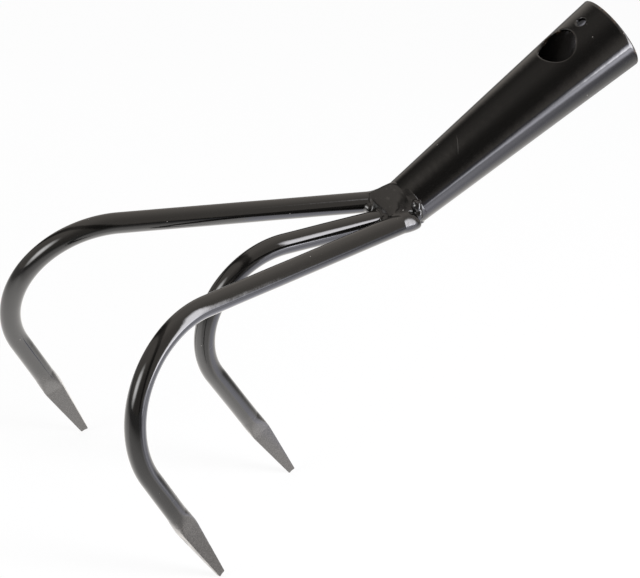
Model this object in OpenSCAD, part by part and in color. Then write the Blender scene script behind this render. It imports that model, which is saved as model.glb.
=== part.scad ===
// Three-tine hand cultivator head: a tapered handle socket with three bent round-bar tines welded to it.
// The head stands on its three points. +Y runs forward from the socket to the tines, +Z is up, and
// x = 0 is the plane of symmetry. The origin is on the ground, at the middle of the head's length and width.

/* [Bar] */
// Diameter of the round bar that the tines are bent from
rod_d = 10; // [8:0.5:12]

/* [Outer tines] */
// Distance of each outer bar's axis from the middle plane at the weld
outer_offset = 9; // [8.5:0.1:11]
// Angle at which each outer tine fans out, seen from above
outer_fan = 12.9; // [8:0.1:18]
// Angle at which the outer straights run downhill
outer_dip = 3.6; // [0:0.1:8]
// Angle at which each outer hook leans outwards
outer_lean = 12.1; // [0:0.1:20]
// Length of the outer straights, from the weld to the bend
outer_straight = 137; // [100:1:170]
// Radius of the outer bend, on the bar's axis
outer_bend_r = 46; // [30:1:60]
// Angle that the outer bend turns through
outer_bend = 122; // [100:0.5:135]
// Length of the outer tails, from the bend to the end of the point
outer_tail = 75; // [65:0.5:100]

/* [Middle tine] */
// Distance of the middle bar's axis below the outer ones at the weld
middle_drop = 2.7; // [2:0.1:4]
// Angle at which the middle straight runs downhill
middle_dip = 5.2; // [0:0.1:8]
// Length of the middle straight, from the weld to the bend
middle_straight = 67; // [50:1:100]
// Radius of the middle bend, on the bar's axis
middle_bend_r = 40; // [30:1:55]
// Angle that the middle bend turns through
middle_bend = 125; // [105:0.5:135]

/* [Points] */
// Length of the forged point, from its shoulder to its end
point_len = 37; // [25:1:45]
// Length over which the round bar turns into the shoulder
point_blend = 12; // [6:1:16]
// Width of the point at its shoulder, in the plane of the hook
shoulder_w = 9.7; // [8:0.1:9.9]
// Thickness of the point at its shoulder
shoulder_t = 5.6; // [4:0.1:8]
// Distance that the shoulder's corners stand out past the round bar
shoulder_spread = 0.7; // [0.2:0.1:1.5]
// Width of the blunt end, in the plane of the hook
end_w = 3.6; // [2:0.1:6]
// Thickness of the blunt end
end_t = 1.8; // [1:0.1:4]

/* [Socket] */
// Outer diameter of the socket's narrow end, at the weld
narrow_d = 24.2; // [23:0.1:30]
// Outer diameter of the socket's mouth
mouth_d = 38.6; // [34:0.1:46]
// Length of the socket along its axis
socket_len = 129; // [100:1:160]
// Thickness of the socket's wall
socket_wall = 2; // [1.5:0.1:3]
// Angle at which the socket rises away from the tines
socket_rise = 36.7; // [25:0.1:50]
// Height of the socket's axis above the outer bars at the weld
socket_lift = 3.4; // [2:0.1:5]
// Chamfer on both edges of the mouth
lip_chamfer = 0.4; // [0.2:0.1:0.7]

/* [Handle fixing] */
// Diameter of the large hole in the top of the socket
catch_hole_d = 19.2; // [12:0.1:22]
// Distance of the large hole's centre from the mouth
catch_hole_back = 27.8; // [22:0.1:40]
// Diameter of the nail hole in the top of the socket
nail_hole_d = 4.8; // [3:0.1:6]
// Distance of the nail hole's centre from the mouth
nail_hole_back = 11.7; // [8:0.1:14]

/* [Welds] */
// Distance that the weld on top runs forward along the bars
weld_reach = 15; // [11:0.5:18]
// Angle that the weld on top covers to each side of the narrow end's top
top_weld_half = 50; // [40:1:55]
// Radius of the toe along the weld on top
toe_r = 1.25; // [0.8:0.05:1.6]
// Angle of the beads at the sides, around the narrow end from its top
side_bead_at = 85; // [80:1:92]
// Radius of the beads at the sides
side_bead_r = 2.9; // [2.5:0.1:3.6]
// Length of the beads at the sides, between the middles of their end ripples
side_bead_run = 4; // [2:0.5:7]
// Radius of the bead underneath
under_bead_r = 2.6; // [2:0.1:3.5]
// Angle that the bead underneath covers to each side of the narrow end's bottom
under_bead_half = 35; // [25:1:45]
// Distance between the ripples along a bead
ripple_pitch = 2.2; // [1.6:0.1:3]

/* [Hidden] */
$fn = 96;
// Roundness of the small spheres inside the weld's hull
toe_fn = 24;
rod_r = rod_d / 2;
narrow_r = narrow_d / 2;
mouth_r = mouth_d / 2;
// Bar left behind the weld before its end is cut to the slope of the socket
bar_lead = 3 * rod_d;
// Room between the round bar and the point's flats where the blend starts
flat_lead = 0.25;
// Depth that the tail's core reaches into the bend, so that the two are one bar
core_lap = 1;
// A block larger than the joint, to cut with
cut = 12 * rod_d;
// Colours of the paint on the pieces and on the weld metal
paint = [0.07, 0.07, 0.075];
weld_paint = [0.13, 0.13, 0.135];

// Turns about the x, y and z axes, as matrices
function turn_x(a) = [[1, 0, 0], [0, cos(a), -sin(a)], [0, sin(a), cos(a)]];
function turn_y(a) = [[cos(a), 0, sin(a)], [0, 1, 0], [-sin(a), 0, cos(a)]];
function turn_z(a) = [[cos(a), -sin(a), 0], [sin(a), cos(a), 0], [0, 0, 1]];

// Where a tine's bend ends and its tail starts, from where the bar leaves the weld
function tail_start(straight, bend_r, bend) =
    [0, straight + bend_r * sin(bend), bend_r * cos(bend) - bend_r];
// How far the lowest corner of a blunt end lies below the end's middle
function end_drop(turned, bend) =
    abs((turned * [0, sin(bend), cos(bend)])[2]) * end_w / 2 + abs((turned * [1, 0, 0])[2]) * end_t / 2;
outer_turn = turn_z(-outer_fan) * turn_x(-outer_dip) * turn_y(-outer_lean);
middle_turn = turn_x(-middle_dip);
outer_tail_dir = outer_turn * [0, cos(outer_bend), -sin(outer_bend)];
middle_tail_dir = middle_turn * [0, cos(middle_bend), -sin(middle_bend)];
outer_end = [outer_offset, 0, 0] + outer_turn * tail_start(outer_straight, outer_bend_r, outer_bend)
    + outer_tail * outer_tail_dir;

// The outer bars' height at the weld, so that the outer points touch the ground
weld_height = end_drop(outer_turn, outer_bend) - outer_end[2];
// The middle tail's length, so that its point stands level with the outer ones
middle_bent = [0, 0, -middle_drop] + middle_turn * tail_start(middle_straight, middle_bend_r, middle_bend);
middle_tail = (weld_height + middle_bent[2] - end_drop(middle_turn, middle_bend)) / -middle_tail_dir[2];

// The head's reach forward and back of the weld, and the middle between them
hook_centre = [outer_offset, 0, 0] + outer_turn * [0, outer_straight, -outer_bend_r];
reach_forward = hook_centre[1] + rod_r
    + outer_bend_r * norm([(outer_turn * [0, 1, 0])[1], (outer_turn * [0, 0, 1])[1]]);
reach_back = -socket_len * cos(socket_rise) - mouth_r * sin(socket_rise);
mid_length = (reach_forward + reach_back) / 2;

// Puts a piece drawn about the weld into the standing head's frame
module on_the_ground() {
    translate([0, -mid_length, weld_height]) children();
}

// Puts a piece drawn along +Z into the socket's frame, with +Y on its top side
module along_socket() {
    translate([0, 0, socket_lift]) rotate([90 - socket_rise, 0, 0]) children();
}

// Puts a bent bar drawn along +Y at the right-hand tine's place
module at_right() {
    translate([outer_offset, 0, 0])
        rotate([0, 0, -outer_fan]) rotate([-outer_dip, 0, 0]) rotate([0, -outer_lean, 0]) children();
}

// Puts a bent bar drawn along +Y at the middle tine's place
module at_middle() {
    translate([0, 0, -middle_drop]) rotate([-middle_dip, 0, 0]) children();
}

// A round bar along +Y
module bar(from, to) {
    translate([0, from, 0]) rotate([-90, 0, 0]) cylinder(h = to - from, d = rod_d);
}

// The tail with its forged point, along +Y with the blunt end at y = tail and the point's width along Z
module pointed_tail(tail) {
    shoulder = tail - point_len;
    start = shoulder - point_blend;
    spread_r = rod_r + shoulder_spread;
    intersection() {
        rotate([-90, 0, 0]) rotate_extrude()
            polygon([[0, -core_lap], [rod_r / 2, -core_lap], [rod_r / 2, 0], [rod_r, 0],
                     [rod_r, start], [spread_r, shoulder], [spread_r, tail], [0, tail]]);
        translate([-cut / 2, 0, 0]) rotate([90, 0, 90]) linear_extrude(cut)
            taper_outline(start, shoulder, tail, shoulder_w / 2, end_w / 2);
        translate([0, 0, -cut / 2]) linear_extrude(cut)
            mirror([1, -1]) taper_outline(start, shoulder, tail, shoulder_t / 2, end_t / 2);
    }
}

// Outline of one pair of the point's flats, along the first axis, which clears the bar above the blend
module taper_outline(start, shoulder, tail, shoulder_half, end_half) {
    blend_half = rod_r + flat_lead;
    polygon([[-rod_d, rod_d], [start, blend_half], [shoulder, shoulder_half], [tail, end_half],
             [tail, -end_half], [shoulder, -shoulder_half], [start, -blend_half], [-rod_d, -rod_d]]);
}

// One bent tine along +Y: straight, hook and forged point
module bent_bar(straight, bend_r, bend, tail) {
    bar(-bar_lead, straight);
    translate([0, straight, -bend_r]) rotate([0, -90, 0])
        rotate_extrude(angle = bend) translate([bend_r, 0]) circle(d = rod_d);
    translate(tail_start(straight, bend_r, bend)) rotate([-bend, 0, 0]) pointed_tail(tail);
}

module right_bar() {
    at_right() bent_bar(outer_straight, outer_bend_r, outer_bend, outer_tail);
}

module middle_bar() {
    at_middle() bent_bar(middle_straight, middle_bend_r, middle_bend, middle_tail);
}

// A piece at the right-hand side and its mirror image at the left
module both_sides() {
    children();
    mirror([1, 0, 0]) children();
}

// The straights of the outer bars
module outer_straights() {
    both_sides() at_right() bar(-bar_lead, outer_straight);
}

// The straights alone, which is all that meets at the weld
module straights() {
    outer_straights();
    at_middle() bar(-bar_lead, middle_straight);
}

// Everything behind the plane of the socket's narrow end
module behind_weld() {
    along_socket() translate([-cut / 2, -cut / 2, 0]) cube([cut, cut, cut]);
}

// The room that the socket takes, with its narrow end at z = 0
module socket_body() {
    cylinder(h = socket_len, r1 = narrow_r, r2 = mouth_r);
}

// A row of overlapping blobs of weld metal between two points
module bead(from, to, radius) {
    steps = max(1, ceil(norm(to - from) / ripple_pitch));
    for (i = [0:steps]) translate(from + (to - from) * i / steps) sphere(radius);
}

module socket() {
    wall_slope = (mouth_r - narrow_r) / socket_len;
    lip = socket_len - lip_chamfer;
    color(paint) on_the_ground() along_socket() difference() {
        rotate_extrude()
            polygon([[narrow_r - socket_wall, 0], [narrow_r, 0],
                     [mouth_r - wall_slope * lip_chamfer, lip], [mouth_r - lip_chamfer, socket_len],
                     [mouth_r - socket_wall + lip_chamfer, socket_len],
                     [mouth_r - socket_wall - wall_slope * lip_chamfer, lip]]);
        translate([0, 0, socket_len - catch_hole_back]) rotate([-90, 0, 0])
            cylinder(h = mouth_d, d = catch_hole_d);
        translate([0, 0, socket_len - nail_hole_back]) rotate([-90, 0, 0])
            cylinder(h = mouth_d, d = nail_hole_d);
    }
}

module tine_right() {
    color(paint) on_the_ground() difference() {
        right_bar();
        behind_weld();
    }
}

module tine_left() {
    mirror([1, 0, 0]) tine_right();
}

// The middle bar is relieved where it nests between the outer two
module tine_middle() {
    color(paint) on_the_ground() difference() {
        middle_bar();
        behind_weld();
        outer_straights();
    }
}

// A point near the edge of the socket's narrow end: its angle from the top, its radius, and how far up it is
function edge_point(angle, radius, up = 0) =
    [0, 0, socket_lift] + turn_x(90 - socket_rise) * [radius * sin(angle), radius * cos(angle), up];

// Cuts weld metal back to the bars and the socket that it lies on
module laid_on_joint() {
    difference() {
        children();
        straights();
        behind_weld();
    }
}

// The ramp of weld metal that closes the top of the narrow end and fills the valleys between the bars
module weld_top() {
    edge_r = socket_wall / 2;
    color(weld_paint) on_the_ground() difference() {
        laid_on_joint() hull() {
            for (angle = [-top_weld_half:top_weld_half / 2:top_weld_half])
                translate(edge_point(angle, narrow_r - edge_r)) sphere(edge_r, $fn = toe_fn);
            for (side = [-1, 1])
                translate([side * outer_offset, weld_reach - toe_r, rod_r - toe_r])
                    sphere(toe_r, $fn = toe_fn);
            for (forward = [0, weld_reach])
                translate([0, forward, -middle_drop]) sphere(toe_r, $fn = toe_fn);
        }
        both_sides() side_bead();
    }
}

// The bead that wraps an outer bar's end where it meets the side of the socket
module side_bead() {
    seat_r = narrow_r - socket_wall / 2;
    up = side_bead_run / 2;
    bead(edge_point(side_bead_at, seat_r, -up), edge_point(side_bead_at, seat_r, up), side_bead_r);
}

module weld_right() {
    color(weld_paint) on_the_ground() difference() {
        side_bead();
        straights();
        along_socket() socket_body();
    }
}

module weld_left() {
    mirror([1, 0, 0]) weld_right();
}

// The bead underneath, along the lower edge of the narrow end
module weld_under() {
    color(weld_paint) on_the_ground() difference() {
        union() {
            bead(edge_point(under_bead_half - 180, narrow_r), edge_point(180, narrow_r), under_bead_r);
            bead(edge_point(180, narrow_r), edge_point(180 - under_bead_half, narrow_r), under_bead_r);
        }
        straights();
        along_socket() socket_body();
        both_sides() side_bead();
    }
}

socket();
tine_right();
tine_left();
tine_middle();
weld_top();
weld_right();
weld_left();
weld_under();
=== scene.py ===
import math

import bmesh
import bpy
from mathutils import Matrix, Vector
from mathutils.geometry import delaunay_2d_cdt


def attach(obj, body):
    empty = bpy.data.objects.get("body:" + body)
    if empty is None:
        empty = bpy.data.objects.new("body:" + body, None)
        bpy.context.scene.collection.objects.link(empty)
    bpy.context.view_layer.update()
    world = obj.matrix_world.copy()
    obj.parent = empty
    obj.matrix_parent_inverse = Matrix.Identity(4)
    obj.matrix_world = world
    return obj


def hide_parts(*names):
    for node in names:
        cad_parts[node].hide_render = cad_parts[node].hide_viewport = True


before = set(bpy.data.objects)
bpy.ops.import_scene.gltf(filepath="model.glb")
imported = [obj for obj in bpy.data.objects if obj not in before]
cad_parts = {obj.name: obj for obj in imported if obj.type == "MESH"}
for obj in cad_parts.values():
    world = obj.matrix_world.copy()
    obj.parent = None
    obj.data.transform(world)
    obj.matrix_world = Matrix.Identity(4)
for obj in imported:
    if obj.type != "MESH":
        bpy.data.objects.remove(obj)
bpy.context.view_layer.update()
mm = 0.001
print("frame loaded:", ", ".join(sorted(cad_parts)))


# Node maths written as expressions on sockets
class Sock:
    def __init__(self, tree, out):
        self.tree = tree
        self.out = out

    def node(self, kind, settings=None, pick=0, **inputs):
        made = self.tree.nodes.new(kind)
        for name, value in (settings or {}).items():
            setattr(made, name, value)
        for name, value in inputs.items():
            plug(self.tree, made, name, value)
        return Sock(self.tree, made.outputs[pick])

    def maths(self, operation, *values):
        made = self.tree.nodes.new("ShaderNodeMath")
        made.operation = operation
        for place, value in enumerate(values):
            plug(self.tree, made, place, value)
        return Sock(self.tree, made.outputs[0])

    def __add__(self, other): return self.maths("ADD", self, other)
    def __radd__(self, other): return self.maths("ADD", other, self)
    def __sub__(self, other): return self.maths("SUBTRACT", self, other)
    def __rsub__(self, other): return self.maths("SUBTRACT", other, self)
    def __mul__(self, other): return self.maths("MULTIPLY", self, other)
    def __rmul__(self, other): return self.maths("MULTIPLY", other, self)
    def __truediv__(self, other): return self.maths("DIVIDE", self, other)
    def __rtruediv__(self, other): return self.maths("DIVIDE", other, self)
    def __pow__(self, other): return self.maths("POWER", self, other)
    def __neg__(self): return self.maths("MULTIPLY", self, -1)
    def __abs__(self): return self.maths("ABSOLUTE", self)

    def least(self, *values): return self.folded("MINIMUM", values)
    def most(self, *values): return self.folded("MAXIMUM", values)

    def folded(self, operation, values):
        result = values[0]
        for value in values[1:]:
            result = self.maths(operation, result, value)
        return result

    def vector(self, operation, *values, pick=0):
        made = self.tree.nodes.new("ShaderNodeVectorMath")
        made.operation = operation
        for place, value in enumerate(values):
            plug(self.tree, made, 3 if operation == "SCALE" and place else place, value)
        return Sock(self.tree, made.outputs[pick])

    def minus(self, other): return self.vector("SUBTRACT", self, other)
    def plus(self, other): return self.vector("ADD", self, other)
    def times(self, factor): return self.vector("SCALE", self, factor)
    def dot(self, other): return self.vector("DOT_PRODUCT", self, other, pick=1)
    def length(self): return self.vector("LENGTH", self, pick=1)

    def xyz(self):
        split = self.tree.nodes.new("ShaderNodeSeparateXYZ")
        plug(self.tree, split, 0, self)
        return [Sock(self.tree, out) for out in split.outputs]

    def joined(self, x, y, z):
        return self.node("ShaderNodeCombineXYZ", X=x, Y=y, Z=z)

    def ramped(self, low, high, to0=0.0, to1=1.0):
        return self.node("ShaderNodeMapRange", {"interpolation_type": "SMOOTHSTEP"},
                         Value=self, From_Min=low, From_Max=high, To_Min=to0, To_Max=to1)

    def noise(self, where, scale, **inputs):
        return self.node("ShaderNodeTexNoise", Vector=where, Scale=scale, **inputs)

    def mixed(self, factor, first, second):
        made = self.tree.nodes.new("ShaderNodeMix")
        made.data_type = "RGBA"
        for place, value in ((0, factor), (6, first), (7, second)):
            plug(self.tree, made, place, value)
        return Sock(self.tree, made.outputs[2])

    def mixedShaders(self, factor, first, second):
        made = self.tree.nodes.new("ShaderNodeMixShader")
        for place, value in enumerate((factor, first, second)):
            plug(self.tree, made, place, value)
        return Sock(self.tree, made.outputs[0])

    def endsIn(self, kind):
        plug(self.tree, self.tree.nodes.new(kind), 0, self)


def plug(tree, made, name, value):
    place = made.inputs[name.replace("_", " ")] if isinstance(name, str) else made.inputs[name]
    if isinstance(value, Sock):
        tree.links.new(value.out, place)
    else:
        place.default_value = value


def emptied(owner):
    owner.use_nodes = True
    owner.node_tree.nodes.clear()
    return Sock(owner.node_tree, None)


def placed(name, data):
    thing = bpy.data.objects.new(name, data)
    bpy.context.scene.collection.objects.link(thing)
    return thing


# Camera, at the photograph's viewing angle
shot = dict(
    place=(-1.0800, 0.84468, 0.84477),
    right=(-0.53360, -0.83075, 0.15850),
    down=(-0.48175, 0.14453, -0.86431),
    forward=(0.69512, -0.53755, -0.47734),
    focal=3300.0, pictureWidth=640.0, sensor=36.0, halfPixel=0.5)


def makeCamera(s):
    camera = placed("camera", bpy.data.cameras.new("camera"))
    camera.data.sensor_width = s["sensor"]
    camera.data.lens = s["focal"] / s["pictureWidth"] * s["sensor"]
    camera.data.shift_x = -s["halfPixel"] / s["pictureWidth"]
    camera.data.shift_y = s["halfPixel"] / s["pictureWidth"]
    turn = Matrix((s["right"], -Vector(s["down"]), -Vector(s["forward"]))).transposed()
    camera.matrix_world = Matrix.Translation(s["place"]) @ turn.to_4x4()
    bpy.context.scene.camera = camera


# Softboxes, whose cloth glows less towards the edges
stripBox = dict(place=(-0.663, -0.435, 0.766), faces=(0.652, 0.745, -0.145), size=(0.42, 1.53), glow=7.4,
                colour=(0.985, 0.975, 1.02, 1))
umbrella = dict(place=(-0.28, 2.29, 0.80), faces=(0.117, -0.954, -0.276), size=(2.1, 2.1), glow=5.4,
                colour=(1, 1, 1, 1))


def softbox(name, fade, place, faces, size, glow, colour):
    lamp = bpy.data.lights.new(name, "AREA")
    lamp.shape = "RECTANGLE"
    lamp.size, lamp.size_y = size
    lamp.energy = glow * math.pi * size[0] * size[1]
    n = emptied(lamp)
    across, along = n.node("ShaderNodeNewGeometry", pick="Parametric").xyz()[:2]
    cloth = n.node("ShaderNodeEmission", Color=colour, Strength=fade(across - 0.5, along - 0.5))
    cloth.endsIn("ShaderNodeOutputLight")
    box = placed(name, lamp)
    aim = Vector(faces).to_track_quat("-Z", "Y").to_matrix().to_4x4()
    box.matrix_world = Matrix.Translation(place) @ aim
    box.visible_camera = False


def stripFade(across, along):
    return abs(across).ramped(0.18, 0.5, 1, 0) * along.ramped(-0.02, 0.48, 1, 0.08)


def umbrellaFade(across, along):
    return across.maths("SQRT", across * across + along * along).ramped(0.05, 0.5, 1, 0)


# What gloss paint mirrors above the table: a ceiling panel and a front one, and a dark gap between them
skyLook = dict(lean=0.45, spread=1.1, wall=0.04, sideGlow=0.17, sideAt=0.15, sideFade=(0.1, 0.95, 1, 0),
               ceiling=(-0.3, 0.5, 0.40, 0.54), ceilingEdge=(-0.06, -0.015), edgeCurve=0.12,
               front=0.40, frontEdge=(0.09, 0.18), frontFade=(0.2, 0.9, 1, 0.7), frontSide=(-0.9, -0.1, 0.45, 1.0),
               matt=0.45, tint=(1.0, 0.92, 0.84, 1))


def rayKinds(n):
    ray = n.node("ShaderNodeLightPath").out.node
    return Sock(n.tree, ray.outputs["Is Camera Ray"]), Sock(n.tree, ray.outputs["Is Glossy Ray"])


def makeWorld(s):
    world = bpy.data.worlds.new("studio")
    bpy.context.scene.world = world
    n = emptied(world)
    isCamera, isGlossy = rayKinds(n)
    x, y, z = n.node("ShaderNodeTexCoord", pick="Generated").xyz()
    gap = (y - s["lean"] * z) / s["spread"]
    low, high = s["ceilingEdge"]
    ceiling = x.ramped(*s["ceiling"]) * gap.ramped(low - s["edgeCurve"] * abs(x), high, 1, 0)
    front = s["front"] * gap.ramped(*s["frontEdge"]) * gap.ramped(*s["frontFade"]) * x.ramped(*s["frontSide"])
    seen = s["wall"] + s["sideGlow"] * abs(x - s["sideAt"]).ramped(*s["sideFade"]) + ceiling + front
    strength = seen * isGlossy + s["matt"] * (1 - isGlossy)
    strength = isCamera + strength * (1 - isCamera)
    tint = n.mixed(isGlossy, (1, 1, 1, 1), s["tint"])
    n.node("ShaderNodeBackground", Color=tint, Strength=strength).endsIn("ShaderNodeOutputWorld")


# The table: evenly white to the camera; to gloss paint it glows with a painted pool of light, dimmed by a painted
# shade over one corner, and a painted shine of the strip light beside it
floorLook = dict(halfSize=6.0, colour=(0.9, 0.9, 0.9, 1), glow=1.08, shareOfGlow=0.8,
                 pool=(0.0, 0.6, 1.8, 0.28), poolCentre=(0.0, 0.07, 0.0), poolShape=(1.0, 0.9, 0.0),
                 shade=0.38, shadeX=(-0.09, -0.02, 1, 0), shadeY=(0.0, 0.06),
                 shineFrom=(-166, -156), shineTo=(-150, -120), widerAt=(0.5, 0.62), widerBy=12, widerGlow=0.6,
                 shineNear=(0.2, 0.3, 0, 1.15), shineFar=(0.52, 0.7, 0, 1.8), shineFade=(0.72, 1.0, 1, 0.6),
                 coolFrom=(-100, -125), warm=(1.0, 0.975, 0.95, 1), cool=(0.94, 0.94, 1.04, 1))


def makeFloor(s):
    bm = bmesh.new()
    bmesh.ops.create_grid(bm, x_segments=1, y_segments=1, size=s["halfSize"])
    mesh = bpy.data.meshes.new("floor")
    bm.to_mesh(mesh)
    bm.free()
    material = bpy.data.materials.new("paleFloor")
    n = emptied(material)
    isCamera, isGlossy = rayKinds(n)
    matt = n.node("ShaderNodeBsdfDiffuse", Color=s["colour"])
    white = n.node("ShaderNodeEmission", Color=(1, 1, 1, 1), Strength=s["glow"])
    where = n.node("ShaderNodeTexCoord", pick="Object")
    x, y = where.xyz()[:2]
    away = n.vector("MULTIPLY", where.minus(s["poolCentre"]), s["poolShape"]).length()
    # painted pool of light, glowing for gloss rays only, with a painted shade that dims it over one corner
    pool = away.ramped(*s["pool"]) * (1 - s["shade"] * x.ramped(*s["shadeX"]) * y.ramped(*s["shadeY"]))
    # the painted shine is a glowing sector that widens and brightens towards the strip light, standing in for its
    # reflection on the table
    bearing = n.maths("DEGREES", n.maths("ARCTAN2", y, x))
    far = n.joined(x, y, 0.0).length()
    wider = far.ramped(*s["widerAt"])
    first, last = s["shineTo"]
    sector = bearing.ramped(*s["shineFrom"]) * bearing.ramped(first + s["widerBy"] * wider, last, 1, 0)
    shine = sector * far.ramped(*s["shineFade"]) * (
        far.ramped(*s["shineNear"]) + wider * s["widerGlow"] + far.ramped(*s["shineFar"]))
    tint = n.mixed(bearing.ramped(*s["coolFrom"]), s["warm"], s["cool"])
    # the painted light: the table glows with the pool and the shine, only where gloss paint mirrors it
    inPaint = n.node("ShaderNodeEmission", Color=tint, Strength=pool + shine)
    toCamera = n.mixedShaders(s["shareOfGlow"], matt, white)
    toOthers = n.mixedShaders(isGlossy, matt, inPaint)
    n.mixedShaders(isCamera, toOthers, toCamera).endsIn("ShaderNodeOutputMaterial")
    mesh.materials.append(material)
    placed("floor", mesh)


# Gloss black paint, and how it has aged on each piece
paintLook = dict(colour=(0.0045, 0.0043, 0.004, 1), roughness=0.07, gloss=1.75,
                 peel=240.0, peelDepth=0.0004, peelStrength=0.08, cloud=70.0, cloudRoughness=0.03,
                 speckSpacing=300.0, specks=0.90, speckColour=(0.30, 0.28, 0.26, 1), speckSize=(0.05, 0.10),
                 scratchSpacing=60.0, scratches=0.80, scratchColour=(0.07, 0.067, 0.064, 1),
                 scratchLength=8.0, scratchWidth=(0.03, 0.13), damageRoughness=0.35)
pointLook = dict(length=42.0, fade=14.0, uneven=12, grain=1300.0, drift=120.0,
                 dark=(0.028, 0.025, 0.023, 1), light=(0.078, 0.071, 0.066, 1), roughness=(0.10, 0.22),
                 steel=(0.36, 0.35, 0.34, 1), steelRoughness=0.30, soil=0.75)
rimLook = dict(grain=330.0, brown=(0.085, 0.048, 0.026, 1), bare=(0.28, 0.25, 0.22, 1), holeWear=0.35,
               wornRoughness=0.4, inside=(0.006, 0.0055, 0.005, 1), insideRoughness=0.05, innerSkin=(10.6, 11.6))
weldLook = dict(grain=380.0, roughness=(0.05, 0.13), peelStrength=0.22, scale=(0.030, 0.027, 0.024, 1))


def agedPaint(name, s, finish):
    material = bpy.data.materials.new(name)
    n = emptied(material)
    where = n.node("ShaderNodeTexCoord", pick="Object")
    peel = n.noise(where, s["peel"], Detail=2.0)
    # dust and small chips, one in some of the cells
    cell = n.node("ShaderNodeTexVoronoi", Vector=where, Scale=s["speckSpacing"]).out.node
    chosen = Sock(n.tree, cell.outputs["Color"]).xyz()[0].ramped(s["specks"], s["specks"] + 0.01)
    speck = Sock(n.tree, cell.outputs["Distance"]).ramped(*s["speckSize"], 1, 0) * chosen
    # hairline scratches, each across the middle of its cell
    cell = n.node("ShaderNodeTexVoronoi", Vector=where, Scale=s["scratchSpacing"]).out.node
    centre, tilt = Sock(n.tree, cell.outputs["Position"]), Sock(n.tree, cell.outputs["Color"])
    chance = n.node("ShaderNodeTexWhiteNoise", Vector=centre)
    offset = where.minus(centre).times(1 / mm)
    cutting = n.vector("NORMALIZE", tilt.minus((0.5, 0.5, 0.5)))
    scratch = (abs(offset.dot(cutting)).ramped(*s["scratchWidth"], 1, 0)
               * chance.ramped(s["scratches"], s["scratches"] + 0.01)
               * (offset.length() / s["scratchLength"]).ramped(0.3, 0.8, 1, 0))
    colour = n.mixed(scratch * 0.8, s["colour"], s["scratchColour"])
    colour = n.mixed(speck, colour, s["speckColour"])
    # some areas are a little less glossy than others
    cloud = n.noise(where, s["cloud"], Detail=3.0).ramped(0.45, 0.75, 0, s["cloudRoughness"])
    roughness = s["roughness"] + cloud + n.most(speck, scratch) * s["damageRoughness"]
    colour, roughness, bare = finish(n, where, colour, roughness)
    bump = n.node("ShaderNodeBump", Height=peel - speck * 0.2, Strength=s["peelStrength"], Distance=s["peelDepth"])
    n.node("ShaderNodeBsdfPrincipled", Base_Color=colour, Roughness=roughness, Metallic=bare,
           IOR=s["gloss"], Normal=bump).endsIn("ShaderNodeOutputMaterial")
    return material


def wornPoint(n, where, colour, roughness):
    # soil has dulled the paint towards the tip and rubbed it off the edges
    s = pointLook
    fromTip, edge, side = [n.node("ShaderNodeAttribute", {"attribute_name": label}, pick="Fac")
                           for label in ("fromTip", "flatEdge", "flatSide")]
    mottle = n.noise(where, s["grain"], Detail=4.0, Roughness=0.65)
    drift = n.noise(where, s["drift"], Detail=1.0)
    near = (fromTip + (drift - 0.5) * s["uneven"]).ramped(s["length"], s["length"] + s["fade"], 1, 0)
    colour = n.mixed(near, colour, n.mixed(mottle.ramped(0.38, 0.66), s["dark"], s["light"]))
    # the narrow sides are worn to bright steel, with a dark line of soil left along them
    soil = abs(drift - 0.5).ramped(0.0, 0.05, s["soil"], 0)
    bare = near * (side * (1 - edge * 0.6) * (1 - soil) + edge * mottle.ramped(0.45, 0.6) * 0.25)
    colour = n.mixed(bare, colour, s["steel"])
    low, high = s["roughness"]
    roughness = roughness + near * (low + (high - low) * mottle)
    roughness = roughness + (s["steelRoughness"] - roughness) * bare
    return colour, roughness, bare


def wornRim(n, where, colour, roughness):
    # the mouth and the rim of the large hole have lost some paint, and the inside is dull
    s = rimLook
    across, depth = socketShape["catchHole"][:2]
    away = where.minus(tuple(socketPlace.to_translation()))
    axis, holeAxis = [tuple(socketPlace.to_3x3() @ Vector(way)) for way in ((0, 0, 1), (0, 1, 0))]
    up = away.dot(axis) / mm
    fromAxis = away.minus(n.vector("SCALE", axis, up * mm)).length() / mm
    hole = away.minus(n.vector("SCALE", axis, (joint["length"] - depth) * mm))
    fromHole = n.vector("CROSS_PRODUCT", hole, holeAxis).length() / mm - across / 2
    rough = n.noise(where, s["grain"], Detail=3.0)
    mouth = up.ramped(joint["length"] - 1.6, joint["length"] - 0.3)
    holeRim = abs(fromHole - 0.1).ramped(0.0, 0.4, s["holeWear"], 0) * hole.dot(holeAxis).ramped(0.0, 0.001)
    rim = n.most(mouth, holeRim)
    inner = (fromAxis - up * coneGrowth).ramped(*s["innerSkin"], 1, 0)
    colour = n.mixed(inner, colour, s["inside"])
    colour = n.mixed(rim * rough.ramped(0.48, 0.58) * 0.8, colour, s["brown"])
    colour = n.mixed(rim * rough.ramped(0.60, 0.66), colour, s["bare"])
    worn = rim * rough.ramped(0.46, 0.56) * s["wornRoughness"]
    return colour, roughness + inner * s["insideRoughness"] + worn, 0.0


def weldSkin(n, where, colour, roughness):
    scale = n.noise(where, weldLook["grain"], Detail=3.0)
    colour = n.mixed(scale.ramped(0.58, 0.72), colour, weldLook["scale"])
    return colour, roughness + scale.ramped(0.4, 0.7, *weldLook["roughness"]), 0.0


# Geometry Nodes trees, and plain meshes grown from them
def geometryTree(name, settings):
    tree = bpy.data.node_groups.new(name, "GeometryNodeTree")
    kinds = {float: "NodeSocketFloat", int: "NodeSocketInt", tuple: "NodeSocketVector"}
    for label, value in settings.items():
        tree.interface.new_socket(label, in_out="INPUT", socket_type=kinds[type(value)]).default_value = value
    tree.interface.new_socket("Material", in_out="INPUT", socket_type="NodeSocketMaterial")
    tree.interface.new_socket("Geometry", in_out="OUTPUT", socket_type="NodeSocketGeometry")
    given = tree.nodes.new("NodeGroupInput")
    inputs = {out.name: Sock(tree, out) for out in given.outputs if out.name}
    return tree, Sock(tree, None), inputs


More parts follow.
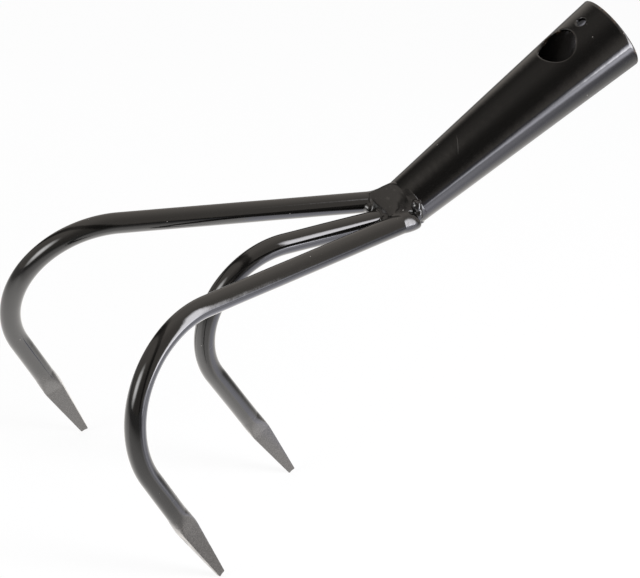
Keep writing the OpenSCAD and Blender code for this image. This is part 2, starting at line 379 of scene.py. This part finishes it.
def endTree(n, inputs, shape):
    shape = n.node("GeometryNodeSetShadeSmooth", Geometry=shape)
    shape = n.node("GeometryNodeRealizeInstances", Geometry=shape)
    n.node("GeometryNodeSetMaterial", Geometry=shape, Material=inputs["Material"]).endsIn("NodeGroupOutput")


def grown(name, tree, settings, material, turn=None):
    piece = placed(name, bpy.data.meshes.new(name))
    modifier = piece.modifiers.new("grow", "NODES")
    modifier.node_group = tree
    values = dict(settings, Material=material)
    for item in tree.interface.items_tree:
        if item.in_out == "INPUT":
            modifier[item.identifier] = values[item.name]
    depsgraph = bpy.context.evaluated_depsgraph_get()
    mesh = bpy.data.meshes.new_from_object(piece.evaluated_get(depsgraph), depsgraph=depsgraph)
    piece.modifiers.clear()
    piece.data = mesh
    mesh.name = name
    if turn is not None:
        mesh.transform(turn)
        if turn.determinant() < 0:
            mesh.flip_normals()
    print(name, "grown:", len(mesh.polygons), "faces")
    return piece


def turned(x=0.0, y=0.0, z=0.0):
    return (Matrix.Rotation(math.radians(z), 4, "Z") @ Matrix.Rotation(math.radians(x), 4, "X")
            @ Matrix.Rotation(math.radians(y), 4, "Y"))


# Where the joint stands, and how the socket leaves it, in millimetres and degrees
joint = dict(forward=-31.7143, height=140.516, rise=36.7, lift=3.4, narrow=24.2, mouth=38.6, length=129.0, wall=2.0)
coneGrowth = (joint["mouth"] - joint["narrow"]) / 2 / joint["length"]
jointPlace = Matrix.Translation((0, joint["forward"] * mm, joint["height"] * mm))
socketPlace = (jointPlace @ Matrix.Translation((0, 0, joint["lift"] * mm))
               @ Matrix.Rotation(math.radians(90 - joint["rise"]), 4, "X"))
mirrored = Matrix.Scale(-1, 4, (1, 0, 0))

# Tines: each is a round bar swept through its bend and forged to a flat point, all in millimetres
barShape = {"Bar Radius": 5.0, "Straight": 137.0, "Bend Radius": 46.0, "Bend": 122.0, "Tail": 75.0,
            "Point Length": 37.0, "Blend": 12.0, "Shoulder Width": 9.7, "Shoulder Thickness": 5.6, "Spread": 0.7,
            "End Width": 3.6, "End Thickness": 1.8, "End Round": 0.9, "Back Round": 3.6, "Edge Sharpness": 22.0,
            "Hammer Depth": 0.045, "Wave Depth": 0.05, "Seed": 1.0, "Around": 120, "Along": 380,
            "Cut Point": (0.0, 0.0, 0.0), "Cut Normal": (0.0, -1.0, 0.0)}
middleShape = {"Straight": 67.0, "Bend Radius": 40.0, "Bend": 125.0, "Tail": 85.007}
outerPlace = dict(offset=9.0, drop=0.0, fan=12.9, dip=3.6, lean=12.1, short=2.4)
middlePlace = dict(offset=0.0, drop=2.7, fan=0.0, dip=5.2, lean=0.0, short=0.0)
barRings = dict(share=0.45, crowding=1.6, pointCrowding=1.4, pointRoom=6)
barSkin = dict(markSize=0.22, waveSize=0.06, waveMiddle=0.3, clearOfRound=0.25, clearSlope=0.8)


def tineTree():
    tree, n, g = geometryTree("forgedTine", barShape)
    pipe = n.node("GeometryNodeMeshCylinder", {"fill_type": "NGON"}, Vertices=g["Around"], Side_Segments=g["Along"],
                  Radius=1.0, Depth=1.0)
    x, y, z = n.node("GeometryNodeInputPosition").xyz()
    along = z + 0.5
    radius, bendRadius = g["Bar Radius"], g["Bend Radius"]
    bend = n.maths("RADIANS", g["Bend"])
    tailAt = g["Straight"] + bendRadius * bend
    end = tailAt + g["Tail"]
    # the bar's back end lies against the plane of the socket's narrow end
    cutX, cutY, cutZ = g["Cut Normal"].xyz()
    back = (g["Cut Point"].dot(g["Cut Normal"]) - (cutX * x - cutZ * y) * radius) / cutY
    # the point takes most of the rings
    share = barRings["share"]
    closeUp = end - g["Point Length"] - g["Blend"] - barRings["pointRoom"]
    first = n.least(along / share, 1)
    second = n.most((along - share) / (1 - share), 0)
    at = (back + (closeUp - back) * first ** barRings["crowding"]
          + (end - closeUp) * (1 - (1 - second) ** barRings["pointCrowding"]))
    angle = n.most(n.least((at - g["Straight"]) / bendRadius, bend), 0)
    beyond = n.most(at - tailAt, 0)
    sine, cosine = n.maths("SINE", angle), n.maths("COSINE", angle)
    centreY = n.least(at, g["Straight"]) + bendRadius * sine + beyond * cosine
    centreZ = bendRadius * cosine - bendRadius - beyond * sine
    # flats of the point, and how far the metal spread when it was flattened
    fromTip = end - at
    past = n.node("ShaderNodeMapRange", Value=fromTip, From_Min=g["Point Length"] + g["Blend"],
                  From_Max=g["Point Length"], To_Min=0.0, To_Max=1.0)
    down = n.most(1 - fromTip / g["Point Length"], 0)
    away = n.most(fromTip - g["Point Length"] - g["Blend"], 0) * barSkin["clearSlope"]
    halfWidth = flat(g, radius, past, down, away, "Shoulder Width", "End Width")
    halfThickness = flat(g, radius, past, down, away, "Shoulder Thickness", "End Thickness")
    skin = radius + g["Spread"] * past
    sharp = g["Edge Sharpness"]
    flatX, flatY = abs(x) / halfThickness, abs(y) / halfWidth
    reach = 1 / ((flatX ** sharp + flatY ** sharp + (1 / skin) ** sharp) ** (1 / sharp))
    # hammer marks on the point, and a slight unevenness of the whole bar
    spot = n.joined(x * reach, at, y * reach).plus(n.joined(g["Seed"] * 37, 0.0, 0.0))
    marks = n.noise(spot, barSkin["markSize"], Detail=1.0) - 0.5
    waves = n.noise(spot, barSkin["waveSize"], Detail=0.0) - 0.5
    reach = reach + marks * g["Hammer Depth"] * 2 * past + (waves - barSkin["waveMiddle"]) * g["Wave Depth"] * 2
    reach = roundedOff(n, reach, g["Back Round"], at - back)
    reach = roundedOff(n, reach, g["End Round"], fromTip)
    place = n.joined(x * reach, centreY - y * reach * sine, centreZ - y * reach * cosine).times(mm)
    # for the finish: how near a place is to the tip, to an edge between two flats and to a narrow side
    edge = (n.least(flatX, flatY) / n.most(flatX, flatY)).ramped(0.86, 0.99) * past
    side = (flatY - flatX).ramped(0.0, 0.06) * past
    shape = pipe
    for label, value in (("fromTip", fromTip), ("flatEdge", edge), ("flatSide", side)):
        shape = n.node("GeometryNodeStoreNamedAttribute", {"data_type": "FLOAT", "domain": "POINT"},
                       Geometry=shape, Name=label, Value=value)
    endTree(n, g, n.node("GeometryNodeSetPosition", Geometry=shape, Position=place))
    return tree


def flat(g, radius, past, down, away, shoulder, end):
    start = radius + barSkin["clearOfRound"] + away  # beyond the point the flats stand clear of the round bar
    half = start + (g[shoulder] / 2 - start) * past
    return half + (g[end] / 2 - g[shoulder] / 2) * down


def roundedOff(n, reach, radius, left):
    over = n.most(radius - left, 0)
    return reach - (radius - n.maths("SQRT", radius ** 2 - over * over + 0.0001))


def makeTines(material):
    tree = tineTree()
    made = []
    for name, base, place, side in (
            ("tineRight", barShape, outerPlace, Matrix()), ("tineLeft", barShape, outerPlace, mirrored),
            ("tineMiddle", dict(barShape, **middleShape), middlePlace, Matrix())):
        turn = (Matrix.Translation((place["offset"] * mm, 0, -place["drop"] * mm))
                @ turned(x=-place["dip"], y=-place["lean"], z=-place["fan"]))
        cutFrame = turn.inverted() @ jointPlace.inverted() @ socketPlace
        cutNormal = cutFrame.to_3x3() @ Vector((0, 0, 1))
        values = dict(base, Seed=float(len(made) + 1))
        values["Cut Normal"] = tuple(cutNormal)
        values["Cut Point"] = tuple(cutFrame.to_translation() / mm - cutNormal * place["short"])
        made.append(grown(name, tree, values, material, side @ jointPlace @ turn))
    return made


# Socket: a rolled cone shell with a large hole and a nail hole, drawn flat and wrapped
socketShape = dict(catchHole=(19.2, 27.8, 112), nailHole=(4.8, 11.7, 48), lip=0.6, holeEdge=0.5,
                   columns=104, rows=104, ringSteps=(0.0, 0.45, 1.0, 1.7), keepClear=2.3, flatRadius=15.7,
                   wallSteps=(0.33, 0.66), edgeSteps=(22.5, 45, 67.5, 90), lipSteps=(30, 60, 90), sharpFrom=40)


def socketRadius(z, inner=False):
    return joint["narrow"] / 2 + coneGrowth * z - (joint["wall"] if inner else 0)


def holePlaces(s):
    # each hole's middle along the socket, its radius outside the rounded edge, and its points
    return [(joint["length"] - depth, across / 2 + s["holeEdge"], around)
            for across, depth, around in (s["catchHole"], s["nailHole"])]


def inHole(s, angle, z, inner, beyond=0.0):
    x = socketRadius(z, inner) * math.sin(angle)
    return abs(angle) < math.pi / 2 and any(math.hypot(x, z - centre) < radius + beyond
                                            for centre, radius, around in holePlaces(s))


def circle(centre, radius, around):
    for i in range(around):
        phi = 2 * math.pi * i / around
        yield radius * math.cos(phi), centre + radius * math.sin(phi)


# One skin of the cone, with rings of points round its holes
def coneSkin(bm, s, inner):
    points, edges, starts = [], [], []
    for centre, radius, around in holePlaces(s):
        starts.append(len(points))
        for step in s["ringSteps"]:
            start = len(points)
            for x, z in circle(centre, radius + step, around):
                points.append(Vector((math.asin(x / socketRadius(z, inner)) * s["flatRadius"], z)))
            edges += [(start + i, start + (i + 1) % around) for i in range(around)]
    for row in range(s["rows"] + 1):
        z = (joint["length"] - s["lip"]) * row / s["rows"]
        for column in range(s["columns"] + 1):
            angle = -math.pi + 2 * math.pi * column / s["columns"]
            if not inHole(s, angle, z, inner, s["keepClear"]):
                points.append(Vector((angle * s["flatRadius"], z)))
    flatPoints, flatEdges, faces = delaunay_2d_cdt(points, edges, [], 0, 1e-5)[:3]
    verts = []
    for point in flatPoints:
        radius, angle = socketRadius(point.y, inner), point.x / s["flatRadius"]
        verts.append(bm.verts.new((radius * math.sin(angle), radius * math.cos(angle), point.y)))
    for face in faces:
        middle = sum((flatPoints[i] for i in face), Vector((0, 0))) / len(face)
        if not inHole(s, middle.x / s["flatRadius"], middle.y, inner):
            bm.faces.new([verts[i] for i in face])
    rings = [verts[start:start + around] for start, (centre, radius, around) in zip(starts, holePlaces(s))]
    return verts, rings


# The wall of a hole, rounded over at both edges
def holeWall(bm, s, place, outerRing, innerRing):
    centre, radius, around = place
    edge = s["holeEdge"]
    rounding = [(edge * (1 - math.sin(a)), edge * (1 - math.cos(a))) for a in map(math.radians, s["edgeSteps"])]
    rings = [(out, depth, 0.0) for out, depth in rounding]
    rings += [(0.0, edge, share) for share in s["wallSteps"]]
    rings += [(out, -depth, 1.0) for out, depth in reversed(rounding)]
    loops = [outerRing]
    for out, depth, share in rings:
        loop = []
        for x, z in circle(centre, radius - edge + out, around):
            high, low = [math.sqrt(socketRadius(z, inner) ** 2 - x * x) for inner in (False, True)]
            loop.append(bm.verts.new((x, high + (low - high) * share - depth, z)))
        loops.append(loop)
    bridged(bm, loops + [innerRing])


def bridged(bm, loops):
    for first, second in zip(loops, loops[1:]):
        for i in range(len(first)):
            j = (i + 1) % len(first)
            bm.faces.new((first[i], first[j], second[j], second[i]))


# A flat end of the shell, or the rounded lip of its mouth
def shellEnd(bm, s, z, rounded):
    rims = []
    for inner in (False, True):
        radius = socketRadius(z, inner)
        rim = [v for v in bm.verts if abs(v.co.z - z) < 1e-4 and abs(math.hypot(v.co.x, v.co.y) - radius) < 1e-3]
        rims.append(sorted(rim, key=lambda v: math.atan2(v.co.x, v.co.y)))
    loops = [rims[0]]
    if rounded:
        profile = [(s["lip"] * (1 - math.cos(a)), s["lip"] * math.sin(a)) for a in map(math.radians, s["lipSteps"])]
        loops += [[lifted(bm, v, -out, up) for v in rims[0]] for out, up in profile]
        loops += [[lifted(bm, v, out, up) for v in rims[1]] for out, up in reversed(profile)]
    bridged(bm, loops + [rims[1]])


def lifted(bm, vert, out, up):
    away = Vector((vert.co.x, vert.co.y, 0)).normalized()
    return bm.verts.new(vert.co + away * out + Vector((0, 0, up)))


def makeSocket(s, material):
    bm = bmesh.new()
    outer, outerRings = coneSkin(bm, s, False)
    inner, innerRings = coneSkin(bm, s, True)
    for place, outerRing, innerRing in zip(holePlaces(s), outerRings, innerRings):
        holeWall(bm, s, place, outerRing, innerRing)
    for skin in (outer, inner):
        bmesh.ops.remove_doubles(bm, verts=[v for v in skin if v.link_faces], dist=1e-4)
    shellEnd(bm, s, 0.0, False)
    shellEnd(bm, s, joint["length"] - s["lip"], True)
    bmesh.ops.delete(bm, geom=[v for v in bm.verts if not v.link_faces], context="VERTS")
    bmesh.ops.recalc_face_normals(bm, faces=bm.faces)
    bmesh.ops.scale(bm, vec=(mm, mm, mm), verts=bm.verts)
    for face in bm.faces:
        face.smooth = True
    mesh = bpy.data.meshes.new("socketShell")
    bm.to_mesh(mesh)
    bm.free()
    mesh.transform(socketPlace)
    mesh.set_sharp_from_angle(angle=math.radians(s["sharpFrom"]))
    mesh.materials.append(material)
    print("socketShell made:", len(mesh.polygons), "faces")
    return placed("socketShell", mesh)


# Weld metal: smooth forms laid over the joint, in millimetres from the joint's place
rampShape = {"Fill": 9.0, "Fill Reach": 14.5, "Ramp Length": 15.6, "Ramp Round": 5.0, "Fillet": 2.4,
             "Lump Size": 0.2, "Lump Depth": 0.3, "Sunk": 0.1, "Voxel": 0.3,
             "Low": (-20.0, -6.0, -9.0), "High": (20.0, 22.0, 17.0)}
rampFace = dict(way=(0.0, 0.751, 0.660), reach=14.15, lowest=-1)
rampSides = (((-0.3, 0.62, 0.725), 14.75, 1.5), ((0.66, 0.2135, 0.7207), 14.1, 0.4))  # way, reach, blend
rampCap = dict(proud=0.4, taper=(-4, 4, 0.04, 0.3), blend=0.8)  # the socket's round, carried on over the ramp
rampLumps = ((7.6, 15.4, -1.4, 2.6, 2.0), (-5.4, 14.9, -0.9, 2.0, 2.0))  # x, y, z, radius, blend
barEnds = dict(short=(2.3, 2.3, -0.1), round=5.0)  # right, left, middle
swelling = dict(at=4.5, half=12.0, radius=5.62, aside=(-0.45, 0.04, 0.37), short=-2.0, round=4.0, blend=0.8)
beadShape = {"Zero": (0.0, 0.59763, 0.80178), "From": 63.0, "To": 88.0, "Ring": 12.0, "Along Socket": 0.6,
             "Lean": 2.6, "Bead Radius": 2.7, "Ripple": 3.1, "Ripple Depth": 0.34, "Crescent": 0.16,
             "Uneven": 0.35, "Fillet": 0.9, "Sunk": 0.1, "Seed": 1.0, "Voxel": 0.24,
             "Low": (3.0, -6.0, -8.0), "High": (19.0, 9.0, 13.0)}
rightBead = {"From": 82.0, "To": 92.0, "Ring": 11.4, "Along Socket": -0.6, "Bead Radius": 2.3, "Ripple": 2.2}
underShape = {"Zero": (0.0, -0.59763, -0.80178), "From": -24.0, "To": 24.0, "Lean": 0.0, "Bead Radius": 1.8,
              "Ring": 11.5, "Low": (-13.0, -13.0, -14.0), "High": (13.0, 4.0, -1.0)}


def barLine(side):
    place = outerPlace if side else middlePlace
    turn = turned(x=-place["dip"], z=-place["fan"] * side)
    return Vector((side * place["offset"], 0, -place["drop"])), turn.to_3x3() @ Vector((0, 1, 0))


def socketParts(n, spot):
    axis = tuple((socketPlace.to_3x3() @ Vector((0, 0, 1))))
    away = spot.minus((0.0, 0.0, joint["lift"]))
    up = away.dot(axis)
    return up, away.minus(n.vector("SCALE", axis, up)), axis


# Distance to the steel of each bar, right, left and middle, and to the socket filled in
def jointField(n, spot, up, across):
    bars = []
    for side, short in zip((1, -1, 0), barEnds["short"]):
        start, way = barLine(side)
        bar = n.vector("CROSS_PRODUCT", spot.minus(tuple(start)), tuple(way)).length() - barShape["Bar Radius"]
        bars.append(n.maths("SMOOTH_MAX", bar, up + short, barEnds["round"]))
    return bars, n.most(across.length() - (joint["narrow"] / 2 + coneGrowth * up), -up)


# The slight swelling of an outer bar's end
def swollen(n, spot, side, up):
    s = swelling
    start, way = barLine(side)
    shift = Vector((-side * s["aside"][0], s["aside"][1], s["aside"][2]))
    away = spot.minus(tuple(start + shift))
    share = (away.dot(tuple(way)) - s["at"]) / s["half"]
    radius = s["radius"] * n.maths("SQRT", n.most(1 - share * share, 0.01))
    bulge = n.vector("CROSS_PRODUCT", away, tuple(way)).length() - radius
    return n.maths("SMOOTH_MAX", bulge, up - s["short"], s["round"])


def meshedField(n, g, field):
    size = g["High"].minus(g["Low"])
    counts = [n.maths("CEIL", side / g["Voxel"]) for side in size.xyz()]
    place = tuple(jointPlace.to_translation())
    cube = n.node("GeometryNodeVolumeCube", Density=0.5 - field, Background=0.0,
                  Min=g["Low"].times(mm).plus(place), Max=g["High"].times(mm).plus(place),
                  Resolution_X=counts[0], Resolution_Y=counts[1], Resolution_Z=counts[2])
    return n.node("GeometryNodeVolumeToMesh", {"resolution_mode": "GRID"}, Volume=cube, Threshold=0.5)


def jointSpot(n):
    return n.node("GeometryNodeInputPosition").minus(tuple(jointPlace.to_translation())).times(1 / mm)


def rampTree():
    tree, n, g = geometryTree("rampWeld", rampShape)
    spot = jointSpot(n)
    x, y, z = spot.xyz()
    up, across = socketParts(n, spot)[:2]
    (right, left, middle), socket = jointField(n, spot, up, across)
    # the valleys fill up, less and less towards the toe
    fill = g["Fill"] * y.ramped(g["Fill Reach"] - 1.2, g["Fill Reach"] + 1.2, 1, 0) * z.ramped(-6, -1) + 0.01
    pool = n.maths("SMOOTH_MIN", n.maths("SMOOTH_MIN", right, left, fill), middle, fill)
    # the ramp carries the top of the socket on to the bars
    ramp = spot.dot(rampFace["way"]) - rampFace["reach"]
    for way, reach, blend in rampSides:
        ramp = n.maths("SMOOTH_MAX", ramp, spot.dot(way) - reach, blend)
    ramp = n.maths("SMOOTH_MAX", ramp, y - g["Ramp Length"], g["Ramp Round"])
    cap = across.length() + up * x.ramped(*rampCap["taper"]) - joint["narrow"] / 2 - rampCap["proud"]
    ramp = n.maths("SMOOTH_MAX", ramp, cap, rampCap["blend"])
    ramp = n.least(n.most(ramp, rampFace["lowest"] - z), socket)
    form = n.maths("SMOOTH_MIN", pool, ramp, g["Fillet"])
    for lumpX, lumpY, lumpZ, radius, blend in rampLumps:
        form = n.maths("SMOOTH_MIN", form, spot.minus((lumpX, lumpY, lumpZ)).length() - radius, blend)
    for side in (1, -1):
        form = n.maths("SMOOTH_MIN", form, swollen(n, spot, side, up), swelling["blend"])
    # the weld metal is lumpy, the steel beside it isn't
    steel = n.least(right, left, middle, socket)
    lumps = n.noise(spot, g["Lump Size"], Detail=1.0, Roughness=0.4) - 0.5
    form = form + lumps * g["Lump Depth"] * (steel - form).ramped(0.05, 0.9) + g["Sunk"]
    # nothing of it is kept far from the joint or inside the socket
    bounds = n.most(y - g["Ramp Length"] - 4, abs(x) - 18, up - 3)
    inside = -n.most(across.length() - (joint["narrow"] / 2 - joint["wall"]), -up)
    form = n.most(form, bounds, n.least(inside, up + 0.2))
    endTree(n, g, meshedField(n, g, form))
    return tree


def beadTree():
    tree, n, g = geometryTree("rippledBead", beadShape)
    spot = jointSpot(n)
    up, across, axis = socketParts(n, spot)
    bars, socket = jointField(n, spot, up, across)
    zero = g["Zero"]
    turn = n.maths("ARCTAN2", across.dot((1.0, 0.0, 0.0)), across.dot(zero))
    low, high = n.maths("RADIANS", g["From"]), n.maths("RADIANS", g["To"])
    held = n.least(n.most(turn, low), high)
    along = g["Along Socket"] - g["Lean"] * (held - low) / (high - low)
    # the nearest place on the bead's middle line
    close = (n.vector("SCALE", (1.0, 0.0, 0.0), g["Ring"] * n.maths("SINE", held))
             .plus(zero.times(g["Ring"] * n.maths("COSINE", held)))
             .plus(n.vector("SCALE", axis, along)).plus((0.0, 0.0, joint["lift"])))
    side = up - along
    ripple = abs(n.maths("SINE", (turn * g["Ring"] + side * side * g["Crescent"]) * math.pi / g["Ripple"]))
    uneven = n.noise(spot.plus(n.joined(g["Seed"] * 31, 0.0, 0.0)), 0.22, Detail=1.0) - 0.5
    bead = (spot.minus(close).length() - g["Bead Radius"] - (ripple - 0.6) * g["Ripple Depth"]
            - uneven * g["Uneven"])
    form = n.maths("SMOOTH_MIN", bead, n.least(*bars, socket), g["Fillet"]) + g["Sunk"]
    # it ends a little way out on the steel, and at the socket's inner wall
    inside = -n.most(across.length() - (joint["narrow"] / 2 - joint["wall"] + 0.4), -up)
    form = n.most(form, bead - 0.9, n.least(inside, up + 0.6))
    endTree(n, g, meshedField(n, g, form))
    return tree


def makeWelds(material):
    ramp = grown("rampWeld", rampTree(), rampShape, material)
    tree = beadTree()
    right = grown("beadRight", tree, dict(beadShape, **rightBead), material)
    left = grown("beadLeft", tree, dict(beadShape, Seed=2.0), material, mirrored)
    under = grown("beadUnder", tree, dict(beadShape, **underShape), material)
    return ramp, right, left, under


makeCamera(shot)
makeWorld(skyLook)
softbox("stripBox", stripFade, **stripBox)
softbox("umbrella", umbrellaFade, **umbrella)
makeFloor(floorLook)
print("studio lit")
tinePaint = agedPaint("tinePaint", paintLook, wornPoint)
socketPaint = agedPaint("socketPaint", paintLook, wornRim)
weldPaint = agedPaint("weldPaint", dict(paintLook, peelStrength=weldLook["peelStrength"]), weldSkin)
print("paint mixed")
standIns = dict(zip(("tine_right", "tine_left", "tine_middle"), makeTines(tinePaint)))
standIns["socket"] = makeSocket(socketShape, socketPaint)
standIns.update(zip(("weld_top", "weld_right", "weld_left", "weld_under"), makeWelds(weldPaint)))
for node, piece in standIns.items():
    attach(piece, "root")
    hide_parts(node)
bpy.context.scene.view_settings.view_transform = "Standard"
